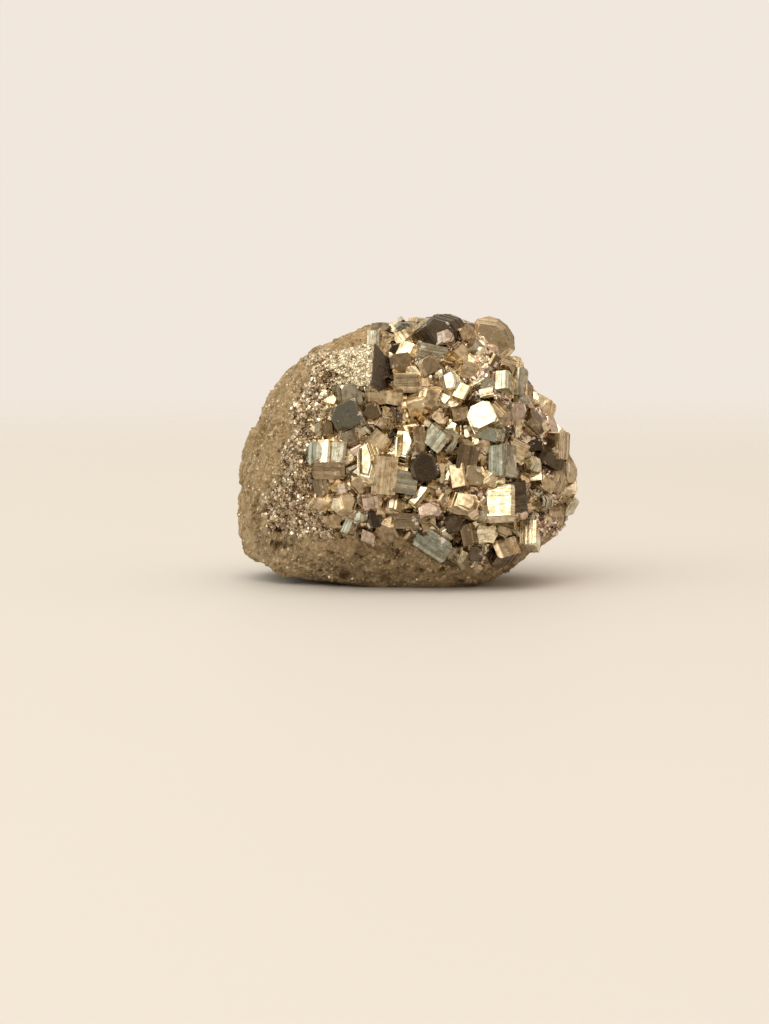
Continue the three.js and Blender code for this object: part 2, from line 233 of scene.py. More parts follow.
# The edges of the dark sugar-grained margin between the broad broken face and the crust, in mm. Its
# wavy left edge leans left as it goes down. Its right edge follows the crust's, and gives way to the
# step higher up.
SUGAR_LEFT = -20.0
SUGAR_LEFT_LEAN = 0.30
SUGAR_RIGHT = -14.8
SUGAR_RIGHT_LEAN = 0.40
SUGAR_STEP_EDGE = -9.0
SUGAR_FOOT = 8.6
SUGAR_TOP = 37


def sugar_share(points):
    """How far the sugar-grained margin covers each point."""
    x, y, z = points.T
    straight_edge = SUGAR_LEFT + SUGAR_LEFT_LEAN * (z - HEART[2])
    left_edge = straight_edge + 0.8 * np.sin(0.8 * z) + 0.5 * np.sin(2.1 * z + y)
    bulging_edge = SUGAR_RIGHT + SUGAR_RIGHT_LEAN * np.abs(z - CRUST_LEFT_AT)
    right_edge = np.where(z > STEP_FOOT, SUGAR_STEP_EDGE, bulging_edge)
    foot_edge = SUGAR_FOOT + 0.5 * np.sin(1.1 * x) + 0.4 * np.sin(2.7 * x)
    inside_sides = np.minimum(x - left_edge, right_edge - x)
    inside_ends = np.minimum(z - foot_edge, SUGAR_TOP - z)
    return soft_step(np.minimum(inside_sides, inside_ends), -0.8, 0.8) * on_the_front(y)


# The oval of clean break round the step on the upper left: its middle and half its size, across and
# up, mm; and where it starts and ends fading, as shares of that.
CLEAN_AT = (-10.4, 34.4)
CLEAN_HALF = (5.8, 4.4)
CLEAN_FADES = (0.5, 1.3)


def clean_break_share(points):
    """How far the clean break covers each point."""
    x, y, z = points.T
    away = np.hypot((x - CLEAN_AT[0]) / CLEAN_HALF[0], (z - CLEAN_AT[1]) / CLEAN_HALF[1])
    return (1 - soft_step(away, *CLEAN_FADES)) * on_the_front(y)


# Patches of fine pinkish and purplish grains: across, up, radius, mm.
ROSY_PATCHES = [
    (-5.3, 11.7, 1.7),
    (7.5, 10.7, 1.6),
    (10.7, 5.7, 1.8),
    (24.0, 12.5, 3.8),
    (15.0, 31.0, 4.2),
    (10.5, 37.5, 4.4),
    (20.0, 27.0, 4.4),
    (25.0, 20.0, 3.4),
]
ROSY_FADES = (0.7, 1.3)  # where a patch starts and ends fading, in its radii
ROSY_BACK = (2, 8)  # y where all of them start and end fading behind the front, mm


def rosy_share(points):
    """How far the patches of pinkish grains cover each point of the front."""
    x, y, z = points.T
    start, end = ROSY_FADES
    share = np.zeros(len(points))
    for across, up, radius in ROSY_PATCHES:
        away = np.hypot(x - across, z - up)
        share = np.maximum(share, 1 - soft_step(away, start * radius, end * radius))
    return share * (1 - soft_step(y, *ROSY_BACK))


def new_object(name, data):
    """An object of this mesh, lamp or camera, at the origin of the scene."""
    made = bpy.data.objects.new(name, data)
    bpy.context.scene.collection.objects.link(made)
    return made


def mesh_object(name, points_mm, faces, **values_at_points):
    """An object at the origin whose mesh holds the points, given in mm, and named values at each."""
    mesh = bpy.data.meshes.new(name)
    mesh.from_pydata((np.asarray(points_mm) * MM).tolist(), [], [list(map(int, face)) for face in faces])
    for value_name, values in values_at_points.items():
        values = np.asarray(values, np.float32)
        kind, field = ("FLOAT", "value") if values.ndim == 1 else ("FLOAT_VECTOR", "vector")
        mesh.attributes.new(value_name, kind, "POINT").data.foreach_set(field, values.ravel())
    return new_object(name, mesh)


class Wire:
    """A socket in a node tree that can stand in sums: wire * 2 + 1 adds the Math nodes for it."""

    def __init__(self, tree, socket):
        self.tree = tree
        self.socket = socket

    def beside(self, output):
        """Another output of the same node."""
        return Wire(self.tree, self.socket.node.outputs[output])

    def maths(self, operation, first, second):
        return self.tree.node("ShaderNodeMath", {"operation": operation}, {0: first, 1: second})

    def __add__(self, other):
        return self.maths("ADD", self, other)

    def __radd__(self, other):
        return self.maths("ADD", other, self)

    def __sub__(self, other):
        return self.maths("SUBTRACT", self, other)

    def __rsub__(self, other):
        return self.maths("SUBTRACT", other, self)

    def __mul__(self, other):
        return self.maths("MULTIPLY", self, other)

    def __rmul__(self, other):
        return self.maths("MULTIPLY", other, self)

    def rising(self, low, high):
        """0 at low, 1 at high, and a smooth rise between them; low may be above high."""
        settings = {"interpolation_type": "SMOOTHSTEP"}
        values = {"Value": self, "From Min": low, "From Max": high}
        return self.tree.node("ShaderNodeMapRange", settings, values)


class Tree:
    """A node tree and the one way that nodes are added to it."""

    def __init__(self, nodes_and_links):
        self.made = nodes_and_links

    def node(self, kind, settings=None, values=None, output=0):
        """Adds a node, sets its settings, then fills its sockets with values or wires. Gives its output."""
        added = self.made.nodes.new(kind)
        for name, setting in (settings or {}).items():
            setattr(added, name, setting)
        for name, value in (values or {}).items():
            if isinstance(value, Wire):
                self.made.links.new(value.socket, added.inputs[name])
            else:
                added.inputs[name].default_value = value
        return Wire(self, added.outputs[output]) if added.outputs else added

    def scaled(self, vector, factor):
        return self.node("ShaderNodeVectorMath", {"operation": "SCALE"}, {0: vector, "Scale": factor})

    def vectors(self, operation, *vectors):
        return self.node("ShaderNodeVectorMath", {"operation": operation}, dict(enumerate(vectors)))

    def noise(self, place, per_mm, detail=3.0, roughness=0.55, output=0):
        values = {"Vector": place, "Scale": per_mm, "Detail": detail, "Roughness": roughness}
        return self.node("ShaderNodeTexNoise", None, values, output)

    def cells(self, place, per_mm, output):
        """One output of a texture of cells: Distance from the middle, Color or Position of the cell."""
        return self.node("ShaderNodeTexVoronoi", None, {"Vector": place, "Scale": per_mm}, output)

    def mixed(self, share, first, second):
        """A colour between two colours, each a wire or (red, green, blue)."""
        first, second = (end if isinstance(end, Wire) else (*end, 1) for end in (first, second))
        return self.node("ShaderNodeMix", {"data_type": "RGBA"}, {0: share, 6: first, 7: second}, output=2)

    def separated(self, vector, output):
        return self.node("ShaderNodeSeparateXYZ", None, {0: vector}, output)

    def glittering_normal(self, grain_colour, far):
        """The surface's own normal, leant so far a different way in each grain."""
        centred = self.vectors("SUBTRACT", grain_colour, (0.5, 0.5, 0.5))
        upright = self.node("ShaderNodeNewGeometry", output="Normal")
        return self.vectors("NORMALIZE", self.vectors("ADD", upright, self.scaled(centred, far)))


def new_material(name):
    """A material with an empty tree, and a wire of its piece's own coordinates in mm."""
    material = bpy.data.materials.new(name)
    material.use_nodes = True
    material.node_tree.nodes.clear()
    tree = Tree(material.node_tree)
    place = tree.scaled(tree.node("ShaderNodeTexCoord", output="Object"), 1 / MM)
    return material, tree, place


def end_in_surface(tree, values):
    """Ends a material in one Principled surface with these values or wires."""
    surface = tree.node("ShaderNodeBsdfPrincipled", None, values)
    tree.node("ShaderNodeOutputMaterial", None, {"Surface": surface})


def named_value(tree, name, output="Fac"):
    """A wire of a value that the mesh carries at its points."""
    return tree.node("ShaderNodeAttribute", {"attribute_name": name}, output=output)


# Colours of the massive pyrite: the two that patch its weathered faces, the two that patch the band
# along its foot, and those of what lies over them.
FACE_PATCHES = ((0.245, 0.163, 0.072), (0.385, 0.262, 0.122))
FOOT_PATCHES = ((0.225, 0.158, 0.08), (0.40, 0.292, 0.158))
MOTTLES = (0.49, 0.352, 0.20)
SPECKS = (0.09, 0.065, 0.04)
SUGAR_GREY = (0.40, 0.315, 0.215)
# Painted shade: the dark brown of the lump where it sits under the crust, between the crystals.
SHADE_UNDER_CRUST = (0.14, 0.10, 0.06)
GLINTS = (0.80, 0.66, 0.46)
CLEAN_FOIL = (0.72, 0.635, 0.475)
# Painted shade in the creases of the crumpled clean break.
FOIL_CREASE_SHADE = (0.25, 0.18, 0.105)
# Painted shade: the near black of the whole face on the step's right.
WHOLE_FACE_SHADE = (0.11, 0.085, 0.06)
FOOT_FADES = (15.0, 8.0)  # z where the band along the foot starts to show and shows fully, mm


def massive_pyrite():
    """Fine-grained pyrite: matt brown-tan with dark specks and tiny bright glints where it is
    weathered, and crumpled like pale foil where its break is clean. Painted shade darkens it where
    it sits under the crust, along the foil's creases, and over the whole face on the step's right."""
    material, tree, place = new_material("massive_pyrite")
    sugar, crust, clean, whole = (named_value(tree, name) for name in ("sugar", "crust", "clean", "whole"))
    patches = tree.noise(place, 0.22, 4)
    mottling = tree.noise(place, 0.8, 3)
    grains = tree.noise(place, 1.6, 5, 0.7)
    grain_colour = tree.cells(place, 3.4, "Color")
    bright = (tree.separated(grain_colour, "X") + mottling * 0.2).rising(0.98, 1.06)
    foot = tree.separated(place, "Z").rising(*FOOT_FADES)
    tans = tree.mixed(patches.rising(0.35, 0.65), *FACE_PATCHES)
    olives = tree.mixed(patches.rising(0.38, 0.62), *FOOT_PATCHES)
    browned = tree.mixed(foot, tans, olives)
    mottled = tree.mixed(mottling.rising(0.45, 0.62) * 0.7, browned, MOTTLES)
    speckled = tree.mixed(grains.rising(0.42, 0.30), mottled, SPECKS)
    greyed = tree.mixed(sugar, speckled, SUGAR_GREY)
    # Painted shade where the lump sits under the crust, between its crystals.
    shaded = tree.mixed(crust, greyed, SHADE_UNDER_CRUST)
    glinting = tree.mixed(bright * 0.6, shaded, GLINTS)
    folds = tree.noise(place, 0.7, 3, 0.55)
    creases = folds.rising(0.47, 0.50) - folds.rising(0.50, 0.53)
    # Painted shade along the creases of the crumpled foil.
    crumpled = tree.mixed(creases, CLEAN_FOIL, FOIL_CREASE_SHADE)
    metal = (clean + (mottling - 0.5) * 1.2).rising(0.42, 0.62)
    broken = tree.mixed(metal, glinting, crumpled)
    # The whole face on the step's right is painted nearly black as its shade.
    coloured = tree.mixed(whole, broken, WHOLE_FACE_SHADE)
    glitter = (0.6 + sugar * 0.3 - metal * 0.45) * (1 - whole * 0.8)
    relief = {
        "Height": grains * (1 - metal * 0.5) + folds * metal * 8.0,
        "Strength": 0.5,
        "Distance": 0.2 * MM,
        "Normal": tree.glittering_normal(grain_colour, glitter),
    }
    end_in_surface(tree, {
        "Base Color": coloured,
        "Metallic": 0.45 + bright * 0.5 + metal * 0.5,
        "Roughness": 0.60 - bright * 0.32 - sugar * 0.15 - metal * 0.32,
        "Normal": tree.node("ShaderNodeBump", None, relief),
    })
    return material


def new_geometry_tree(name, sizes):
    """A geometry node tree with a geometry in and out and a named number input for each size."""
    group = bpy.data.node_groups.new(name, "GeometryNodeTree")
    group.interface.new_socket("Geometry", in_out="INPUT", socket_type="NodeSocketGeometry")
    for size_name in sizes:
        group.interface.new_socket(size_name, in_out="INPUT", socket_type="NodeSocketFloat")
    group.interface.new_socket("Geometry", in_out="OUTPUT", socket_type="NodeSocketGeometry")
    tree = Tree(group)
    entry = group.nodes.new("NodeGroupInput")
    return tree, {socket.name: Wire(tree, socket) for socket in entry.outputs if socket.name}


def end_in_mesh(tree, geometry, material):
    """Ends a geometry tree in Realize Instances and Set Material."""
    real = tree.node("GeometryNodeRealizeInstances", None, {"Geometry": geometry})
    painted = tree.node("GeometryNodeSetMaterial", None, {"Geometry": real, "Material": material})
    tree.node("NodeGroupOutput", None, {0: painted})


def made_by_tree(base, tree, sizes, name):
    """The plain mesh that a geometry tree makes of a base object, as an object; the base is removed."""
    modifier = base.modifiers.new(name, "NODES")
    modifier.node_group = tree.made
    for item in tree.made.interface.items_tree:
        if item.in_out == "INPUT" and item.name in sizes:
            modifier[item.identifier] = float(sizes[item.name])
    evaluated = base.evaluated_get(bpy.context.evaluated_depsgraph_get())
    mesh = bpy.data.meshes.new_from_object(evaluated)
    mesh.name = name
    base.modifiers.remove(modifier)
    made = new_object(name, mesh)
    bpy.data.objects.remove(base)
    return made


def chipped(tree, place, per_mm):
    """How high the surface stands, in mm, when it is chipped into flat facets that each tilt their own
    way."""
    facet_at = tree.cells(place, per_mm, "Position")
    tilt = tree.vectors("SUBTRACT", tree.cells(place, per_mm, "Color"), (0.5, 0.5, 0.5))
    values = {0: tree.vectors("SUBTRACT", place, facet_at), 1: tilt}
    return tree.node("ShaderNodeVectorMath", {"operation": "DOT_PRODUCT"}, values, "Value")


def weathering_tree(sizes):
    """Roughens a surface: slow hollows, chipped facets large and small, grains and sharp pits. The
    crust's seat is lower than the rest, whole faces stay nearly flat, and so does the underside."""
    tree, given = new_geometry_tree("weathering", sizes)
    place = tree.scaled(tree.node("GeometryNodeInputPosition"), 1 / MM)
    level = tree.separated(place, "Z")
    pits = tree.noise(place, 0.55, 3).rising(0.40, 0.28) * (0.3 + 0.7 * level.rising(*FOOT_FADES))
    off_the_ground = level.rising(0.0, 1.2)
    crust, sugar, whole = (
        tree.node("GeometryNodeInputNamedAttribute", {"data_type": "FLOAT"}, {"Name": name})
        for name in ("crust", "sugar", "whole")
    )
    height = (
        (tree.noise(place, 0.2, 2) - 0.5) * given["Hollow Depth"]
        + chipped(tree, place, 0.22) * given["Large Chips"]
        + chipped(tree, place, 0.75) * given["Small Chips"] * (1 + 1.2 * sugar)
        + chipped(tree, place, 1.9) * given["Fine Chips"]
        + (tree.noise(place, 1.3, 4, 0.68) - 0.5) * given["Grain Height"]
        - pits * given["Pit Depth"]
        - crust * given["Crust Depth"]
    )
    moves = height * off_the_ground * (1 - 0.85 * whole)
    outwards = tree.scaled(tree.node("GeometryNodeInputNormal"), moves * MM)
    moved = tree.node("GeometryNodeSetPosition", None, {"Geometry": given["Geometry"], "Offset": outwards})
    end_in_mesh(tree, moved, massive_finish)
    return tree


def weathered(base, name, sizes):
    return made_by_tree(base, weathering_tree(sizes), sizes, name)


cube_corners, lump_quads = ball_of_squares(LUMP_CUTS)
directions = np.tan(cube_corners * (math.pi / 4))
directions /= np.linalg.norm(directions, axis=1, keepdims=True)
lump_points = HEART + directions * reach_along(directions)[:, None]
lump_points[:, 2] = np.maximum(lump_points[:, 2], 0)
lump_points[:, 1] -= front_relief(lump_points)
lump_base = mesh_object(
    "lump_base",
    lump_points,
    lump_quads,
    crust=crust_share(lump_points),
    sugar=sugar_share(lump_points),
    rosy=rosy_share(lump_points),
    clean=clean_break_share(lump_points),
)
massive_finish = massive_pyrite()
massive_lump = weathered(lump_base, "massive_lump", {
    "Hollow Depth": 1.6,
    "Large Chips": 0.22,
    "Small Chips": 0.40,
    "Fine Chips": 0.4,
    "Grain Height": 0.6,
    "Pit Depth": 1.3,
    "Crust Depth": 0.5,
})
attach(massive_lump, "root")
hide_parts("pyrite_cluster")

# ==== the leading and lesser crystals ============================================================
# Blocks and pyritohedra, 2 to 9 mm across, grown through each other and out of the lump. Each is a
# pile of thin growth layers that step and lean a little from one to the next, which gives its faces
# the fine lines of the mineral.

# How far each family of faces is from the crystal's middle, where a plain cube's are at 1.
HABITS = {
    "block": (1, 0, 0),
    "cornered": (1, 0, 1.36),
    "pyritohedron": (0, 1, 0),
}
# How the growth layers of a crystal are piled: across its width, up its height, or out to its face.
PILES = {"posts": (1, 0, 0), "bars": (0, 1, 0), "rims": (0, 0, 1)}
MALFORMED = 0.09  # how far a face may stray from its family's distance, as a share of it
PROUD = 0.36  # how far a leading crystal's main face stands out of the lump, as a share of its depth
FIRST_SEED = 7  # starts the chain of numbers for the lesser crystals and for every crystal's growth
EDGE_SEED = 5  # starts the draws for the narrow faces along every crystal's edges

# The leading crystals: the place of the main face, across from the heart and up from the ground;
# how wide, tall and deep the crystal is; the bearing and rise that the face looks along; how far it
# is rolled about that line; its habit; how its growth layers are piled; and its tarnish.
LEADING_CRYSTALS = [
    (-8.8, 35.6, 8.0, 8.4, 6.8, -32, 35, 16, "block", "rims", "pale"),
    (-0.8, 23.7, 3.8, 5.6, 4.6, -15, 29, 4, "pyritohedron", "rims", "pale"),
    (2.0, 23.8, 2.0, 4.8, 3.4, 24, 0, 4, "block", "posts", "bronze"),
    (11.6, 28.0, 4.4, 4.6, 4.8, -15, 29, 30, "cornered", "rims", "pale"),
    (6.1, 33.5, 3.6, 3.6, 3.4, -24, 22, 20, "pyritohedron", "rims", "green"),
    (2.6, 19.9, 4.8, 4.4, 5.0, 6, 2, 15, "cornered", "rims", "dark"),
    (14.5, 14.8, 4.2, 5.8, 6.0, -6, 27, 2, "block", "bars", "pale"),
    (17.5, 15.0, 3.4, 5.4, 5.6, 34, 2, 4, "block", "bars", "dark"),
    (-9.6, 28.0, 5.0, 4.8, 4.4, -6, 4, 25, "cornered", "rims", "steel"),
    (-12.3, 26.0, 2.2, 2.4, 2.4, 20, 12, 0, "cornered", "rims", "bronze"),
    (-15.0, 22.3, 2.8, 3.4, 3.4, -40, 14, 8, "cornered", "posts", "steel"),
    (-13.2, 22.5, 2.0, 4.0, 4.0, -22, 18, 4, "block", "posts", "pale"),
    (-11.3, 22.5, 3.2, 3.8, 4.2, -12, 16, -4, "block", "posts", "green"),
    (-12.3, 19.6, 5.0, 3.0, 3.6, 10, -6, 0, "block", "bars", "bronze"),
    (-3.7, 18.9, 3.8, 6.4, 4.4, 8, -6, -4, "block", "posts", "brass"),
    (-6.9, 21.2, 3.6, 7.0, 4.2, -20, 24, 10, "pyritohedron", "rims", "pale"),
    (-0.6, 17.6, 3.8, 3.6, 3.4, 4, 14, -10, "block", "bars", "green"),
    (1.6, 15.8, 1.6, 3.8, 2.4, -14, 28, -32, "block", "rims", "pale"),
    (-9.7, 14.7, 3.8, 3.4, 3.4, 14, 22, 10, "pyritohedron", "rims", "brass"),
    (-1.6, 14.3, 3.5, 2.8, 3.0, 18, 26, -15, "pyritohedron", "rims", "brass"),
    (-0.7, 11.6, 4.4, 2.7, 3.6, -4, 6, -3, "block", "bars", "bronze"),
    (3.2, 8.0, 7.6, 3.9, 4.6, -20, 8, -30, "block", "bars", "steel"),
    (7.4, 6.1, 3.4, 2.4, 3.0, -17, 27, -28, "block", "bars", "pale"),
    (9.0, 14.5, 5.2, 3.8, 4.2, 4, 28, -20, "pyritohedron", "rims", "brass"),
    (15.9, 7.0, 4.6, 3.4, 4.0, 20, 30, 12, "block", "posts", "bronze"),
    (18.9, 9.2, 3.0, 4.4, 3.6, -16, 28, 5, "block", "posts", "pale"),
    (23.2, 20.0, 4.8, 2.8, 3.4, 28, 4, -25, "block", "rims", "dark"),
    (18.9, 20.0, 3.0, 2.7, 2.8, -28, 14, 10, "pyritohedron", "rims", "green"),
    (13.6, 21.0, 3.4, 5.4, 4.4, -30, 10, 6, "block", "posts", "green"),
    (14.7, 33.5, 2.4, 3.5, 3.0, -22, 26, 8, "block", "posts", "green"),
    (16.8, 33.1, 2.2, 5.0, 3.4, -28, 16, 4, "block", "posts", "green"),
    (19.7, 30.2, 2.6, 2.4, 2.6, -12, 32, 20, "cornered", "rims", "pale"),
    (4.6, 40.6, 8.2, 5.6, 6.4, -4, 12, 34, "pyritohedron", "rims", "dark"),
    (14.7, 41.2, 7.6, 7.4, 6.6, 4, 10, 52, "pyritohedron", "rims", "brass"),
    (9.6, 40.4, 3.0, 3.0, 3.0, 26, 6, 20, "cornered", "rims", "bronze"),
    (5.9, 40.2, 4.2, 3.2, 8.8, 6, 18, 10, "pyritohedron", "rims", "rosy"),
    (13.9, 38.8, 5.0, 3.8, 4.6, 15, 14, 10, "pyritohedron", "rims", "rosy"),
    (3.9, 37.6, 5.0, 3.0, 3.6, 12, 12, -12, "block", "bars", "green"),
    (-0.6, 38.2, 2.3, 3.1, 2.8, -14, 34, -15, "block", "posts", "pale"),
    (1.3, 35.8, 2.3, 3.5, 2.8, -30, 18, -10, "pyritohedron", "rims", "green"),
    (-1.0, 36.2, 3.5, 3.0, 3.0, 14, 8, 8, "cornered", "rims", "bronze"),
    (-0.4, 32.9, 4.2, 3.0, 3.8, 4, -4, 0, "block", "bars", "brass"),
    (3.2, 35.6, 3.8, 3.0, 3.2, 18, 4, 25, "cornered", "rims", "bronze"),
    (3.6, 30.4, 3.8, 3.6, 3.6, 20, 14, -20, "cornered", "rims", "brass"),
    (1.5, 29.2, 3.4, 2.7, 3.0, 0, -24, 15, "block", "rims", "brass"),
    (-2.5, 30.6, 3.1, 2.6, 2.8, -4, -18, -10, "block", "posts", "brass"),
    (-5.2, 30.6, 3.4, 2.4, 2.8, 10, -10, 5, "block", "rims", "bronze"),
    (-5.6, 28.5, 2.9, 3.0, 2.8, 8, 4, 20, "cornered", "rims", "bronze"),
    (-4.1, 26.6, 2.9, 2.8, 2.8, -6, 16, -25, "pyritohedron", "rims", "bronze"),
    (4.0, 24.5, 4.2, 3.8, 3.8, -26, 12, -35, "block", "posts", "green"),
    (5.6, 24.2, 2.3, 4.2, 3.0, -32, 8, -10, "pyritohedron", "rims", "green"),
    (6.9, 26.0, 2.4, 2.4, 2.4, -12, 38, 30, "pyritohedron", "rims", "pale"),
    (8.2, 28.1, 3.0, 2.2, 2.6, 14, -4, 10, "block", "rims", "bronze"),
    (12.0, 25.2, 4.2, 2.4, 3.2, -28, 6, -12, "block", "rims", "green"),
    (15.1, 25.0, 2.0, 2.0, 2.0, 10, 0, 0, "cornered", "rims", "dark"),
    (17.6, 28.5, 2.9, 2.8, 2.8, 18, 8, 15, "cornered", "rims", "rosy"),
    (17.2, 22.2, 3.8, 3.8, 3.4, 6, 20, -30, "block", "bars", "brass"),
    (20.5, 22.7, 2.4, 2.2, 2.4, 12, 2, 10, "cornered", "rims", "dark"),
    (19.9, 17.9, 2.9, 1.6, 2.4, -12, 30, 8, "block", "bars", "pale"),
    (22.2, 16.4, 2.8, 2.4, 2.6, 30, 12, -35, "block", "rims", "brass"),
    (20.9, 13.7, 3.1, 2.7, 2.8, -26, 12, 30, "pyritohedron", "rims", "green"),
    (3.2, 13.3, 3.8, 2.3, 2.8, 4, 20, 10, "cornered", "rims", "rosy"),
    (9.5, 9.3, 2.6, 3.6, 3.0, 18, 6, 10, "block", "posts", "bronze"),
    (15.1, 9.9, 4.0, 3.0, 3.4, 22, -6, -15, "pyritohedron", "rims", "bronze"),
    (-9.5, 10.8, 1.6, 2.7, 2.2, -30, 12, -20, "block", "posts", "green"),
    (-8.1, 12.6, 2.2, 2.3, 2.2, -20, 14, 20, "pyritohedron", "rims", "green"),
    (-13.6, 17.0, 2.2, 2.7, 2.4, 12, 10, 10, "block", "posts", "brass"),
    (8.4, 31.7, 2.2, 3.1, 2.6, -10, 32, -20, "block", "posts", "brass"),
    (12.3, 31.4, 2.3, 1.6, 2.2, -4, 36, 12, "block", "bars", "pale"),
    (13.8, 36.3, 1.8, 2.3, 2.2, 12, 4, -30, "block", "rims", "bronze"),
    (14.9, 36.9, 2.0, 2.0, 2.0, -14, 30, 20, "cornered", "rims", "pale"),
    (16.4, 36.0, 1.8, 2.2, 2.0, 10, 2, 5, "block", "posts", "green"),
    (-7.6, 17.2, 2.6, 3.0, 2.8, 10, -14, 0, "cornered", "rims", "bronze"),
    (-9.2, 24.6, 2.6, 2.6, 2.6, -4, 10, 20, "block", "rims", "brass"),
    (9.3, 21.4, 3.4, 4.0, 3.4, 14, 6, -12, "block", "posts", "bronze"),
    (7.6, 18.6, 2.8, 4.2, 3.2, -18, 20, 14, "block", "rims", "bronze"),
    (10.4, 18.4, 3.0, 3.4, 3.0, 16, 10, -8, "cornered", "rims", "brass"),
    (11.6, 12.6, 2.4, 2.6, 2.4, -20, 10, 0, "cornered", "rims", "bronze"),
    (-4.6, 23.8, 3.4, 3.0, 3.0, 12, -6, -40, "block", "posts", "brass"),
    (-6.0, 14.6, 2.6, 2.8, 2.6, 20, -8, 12, "block", "rims", "rosy"),
    (24.8, 26.0, 3.4, 3.4, 3.4, 60, 20, 10, "cornered", "rims", "rosy"),
    (-4.4, 41.6, 3.4, 2.4, 3.4, -20, 40, 0, "cornered", "rims", "dark"),
    (-5.6, 39.4, 2.2, 3.6, 2.6, -10, 14, 0, "block", "posts", "green"),
    (-5.3, 11.9, 3.0, 2.8, 2.6, 0, 4, 10, "cornered", "rims", "dark"),
    (7.2, 11.1, 2.6, 3.0, 2.6, 6, 0, 20, "cornered", "rims", "dark"),
    (10.4, 5.9, 2.8, 2.6, 2.4, 0, -6, 0, "cornered", "rims", "dark"),
]

# The lesser crystals fill the crust between the leading ones and carry it round the sides.
LESSER_TRIES = 900
LESSER_BEARINGS = (-45, 150)
LESSER_RISES = (-48, 90)
LESSER_SIZES = (2.6, 4.8)
LESSER_TILT = 34  # how far one may lean from square to the lump, degrees
LESSER_PROUD = 0.25  # how far its main face stands out, as a share of its size
LESSER_PROUD_LOSS = 0.6  # how much of that is lost where the lump faces straight up
LESSER_SPACING = 0.8  # least distance between two crystals, as a share of their mean size

# Colours that the crystals have tarnished to, and how many in 20 of the lesser ones have each.
TARNISH = {
    "pale": (0.90, 0.80, 0.58),
    "brass": (0.72, 0.59, 0.39),
    "bronze": (0.50, 0.39, 0.25),
    "green": (0.64, 0.60, 0.47),
    "steel": (0.45, 0.43, 0.34),
    "rosy": (0.78, 0.64, 0.53),
    "dark": (0.14, 0.11, 0.08),
}
TARNISH_IN_20 = {"pale": 3, "brass": 7, "bronze": 5, "green": 1, "steel": 1, "rosy": 2, "dark": 1}


class NumberChain:
    """A chain of pseudo-random numbers, so that each crystal comes out the same every time."""

    def __init__(self, seed):
        self.link = seed

    def drawn(self, low, high):
        self.link = self.link * 16807 % 2147483647
        return low + (high - low) * self.link / 2147483647


def surface_along(direction):
    """The point of the lump's surface on a line from the heart, in mm."""
    direction = direction / np.linalg.norm(direction)
    return HEART + direction * reach_along(direction[None])[0]


IN_FRONT = -30.0  # y of a place in front of the whole lump, mm
JUST_INSIDE = -2.0  # y of a place inside it, just in front of its middle
HALVINGS = 24  # steps of the search between them


def front_surface(x, z):
    """The lump's surface straight in from the front, in mm, or the nearest there is past its outline."""

    def is_outside(y):
        arm = np.array([x, y, z]) - HEART
        length = np.linalg.norm(arm)
        return length > reach_along(arm[None] / length)[0]

    near = IN_FRONT
    deep = JUST_INSIDE
    if is_outside(deep):
        return surface_along(np.array([x, deep, z]) - HEART)
    for _ in range(HALVINGS):
        middle = (near + deep) / 2
        if is_outside(middle):
            near = middle
        else:
            deep = middle
    return np.array([x, deep, z])


def leading_crystals():
    crystals = []
    for x, z, wide, tall, deep, bearing, rise, roll, habit, pile, tarnish in LEADING_CRYSTALS:
        face_at = front_surface(HEART[0] + x, z)
        face_at[1] -= PROUD * deep
        size = np.array([wide, tall, deep])
        crystals.append((face_at, bearing, rise, roll, size, habit, pile, tarnish))
    return crystals


def lesser_crystals(leading, chain):
    fate = random.Random(FIRST_SEED)
    crystals = list(leading)
    for _ in range(LESSER_TRIES):
        bearing = chain.drawn(*LESSER_BEARINGS)
        rise = chain.drawn(*LESSER_RISES)
        side = chain.drawn(*LESSER_SIZES)
        lean_across = chain.drawn(-LESSER_TILT, LESSER_TILT)
        lean_up = chain.drawn(-LESSER_TILT, LESSER_TILT)
        roll = chain.drawn(0, 90)
        habit = list(HABITS)[int(chain.drawn(0, len(HABITS)))]
        out = looking_along(bearing, rise)
        face_at = surface_along(out)
        places = np.array([other[0] for other in crystals])
        widths = np.array([other[4][0] for other in crystals])
        away = np.linalg.norm(places - face_at, axis=1)
        if (away < LESSER_SPACING * (side + widths) / 2).any() or inside_crust(face_at[None])[0] <= 0:
            continue
        face_at = face_at + out * LESSER_PROUD * (1 - LESSER_PROUD_LOSS * max(0, out[2])) * side
        size = np.array([side, side, side])
        pile = fate.choice(list(PILES))
        tarnish = fate.choices(list(TARNISH_IN_20), TARNISH_IN_20.values())[0]
        crystals.append((face_at, bearing + lean_across, rise + lean_up, roll, size, habit, pile, tarnish))
    return crystals[len(leading):]


def cube_normals():
    return [side * axis for axis in np.eye(3) for side in (1, -1)]


def pyritohedron_normals():
    normals = []
    for long in (2, -2):
        for short in (1, -1):
            normals += [(long, short, 0), (0, long, short), (short, 0, long)]
    return [np.array(normal) / math.sqrt(5) for normal in normals]


def octahedron_normals():
    signs = (1, -1)
    return [np.array([x, y, z]) / math.sqrt(3) for x in signs for y in signs for z in signs]


# Turns a pyritohedron so that one of its faces looks along z.
FACE_UP = np.array([[2, 0, -1], [0, math.sqrt(5), 0], [1, 0, 2]]) / math.sqrt(5)


# Narrow faces that cut the edges of each habit: their family, and the nearest and farthest that
# they lie from the middle.
EDGE_FACES = {
    "block": (pyritohedron_normals(), 1.17, 1.38),
    "cornered": (pyritohedron_normals(), 1.18, 1.38),
    "pyritohedron": (cube_normals(), 0.96, 1.10),
}


